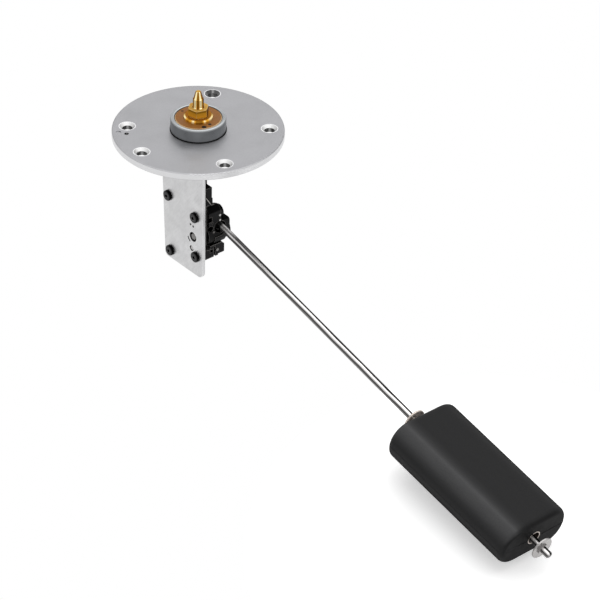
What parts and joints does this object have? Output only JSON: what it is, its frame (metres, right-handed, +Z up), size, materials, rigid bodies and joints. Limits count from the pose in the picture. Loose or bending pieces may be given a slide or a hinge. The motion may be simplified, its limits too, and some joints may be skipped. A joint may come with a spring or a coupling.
{
  "type": "fuel level sender",
  "caption": "Round tank-top flange with a central stud terminal, a hanging bracket with a moulded sender module, and a swinging rod that carries a rounded block float.",
  "frame": {"origin": "centre of the flange's flat underside, which seats on the tank's top", "axes": "+Z up out of the tank along the terminal stud, +X the way the float arm reaches, +Y along the arm's pivot from the bracket plate to the module"},
  "size_m": [0.2562, 0.073, 0.1166],
  "materials": {
    "satin_flange": "satin",
    "seal_rubber": "matte",
    "zinc_collar": "satin",
    "brown_laminate": "matte",
    "terminal_brass": "polished",
    "bush_plastic": "matte",
    "bracket_steel": "brushed",
    "black_screw": "black oxide",
    "insert_brass": "knurled",
    "housing_black": "moulded",
    "card_ceramic": "ceramic",
    "pin_steel": "ground",
    "spring_steel": "bright",
    "rod_steel": "drawn and polished",
    "float_foam": "satin skin",
    "retainer_steel": "phosphated"
  },
  "bodies": {
    "tank_unit": {"mounting_flange": "satin_flange", "terminal_seal": "seal_rubber", "terminal_collar": "zinc_collar", "terminal_disc": "brown_laminate", "terminal_washer": "terminal_brass", "terminal_nut": "terminal_brass", "terminal_stud": "terminal_brass", "inner_bush": "bush_plastic", "lock_washer": "spring_steel", "inner_nut": "terminal_brass", "contact_strip": "spring_steel", "sender_bracket": "bracket_steel", "plate_screws": "black_screw", "threaded_inserts": "insert_brass", "sender_housing": "housing_black", "resistor_card": "card_ceramic", "block_pin": "pin_steel", "pivot_pin": "pin_steel", "locating_dowel": "pin_steel", "pivot_clip": "spring_steel"},
    "float_arm": {"rotor": "housing_black", "rotor_rivets": "spring_steel", "wiper_spring": "spring_steel", "float_rod": "rod_steel", "far_retainer": "retainer_steel", "near_retainer": "retainer_steel", "spring_washer": "spring_steel"},
    "float": {"float_body": "float_foam", "float_sleeve": "rod_steel"}
  },
  "joints": [
    {"name": "arm_swing", "type": "hinge", "parent": "tank_unit", "child": "float_arm", "pos_m": [0.0069, 0, -0.0444], "axis": [0, 1, 0], "range_deg": [-24, 50]},
    {"name": "float_spin", "type": "hinge", "parent": "float_arm", "child": "float", "pos_m": [0.1759, 0.0025, -0.07936], "axis": [0.979, 0, -0.2038], "continuous": true}
  ]
}
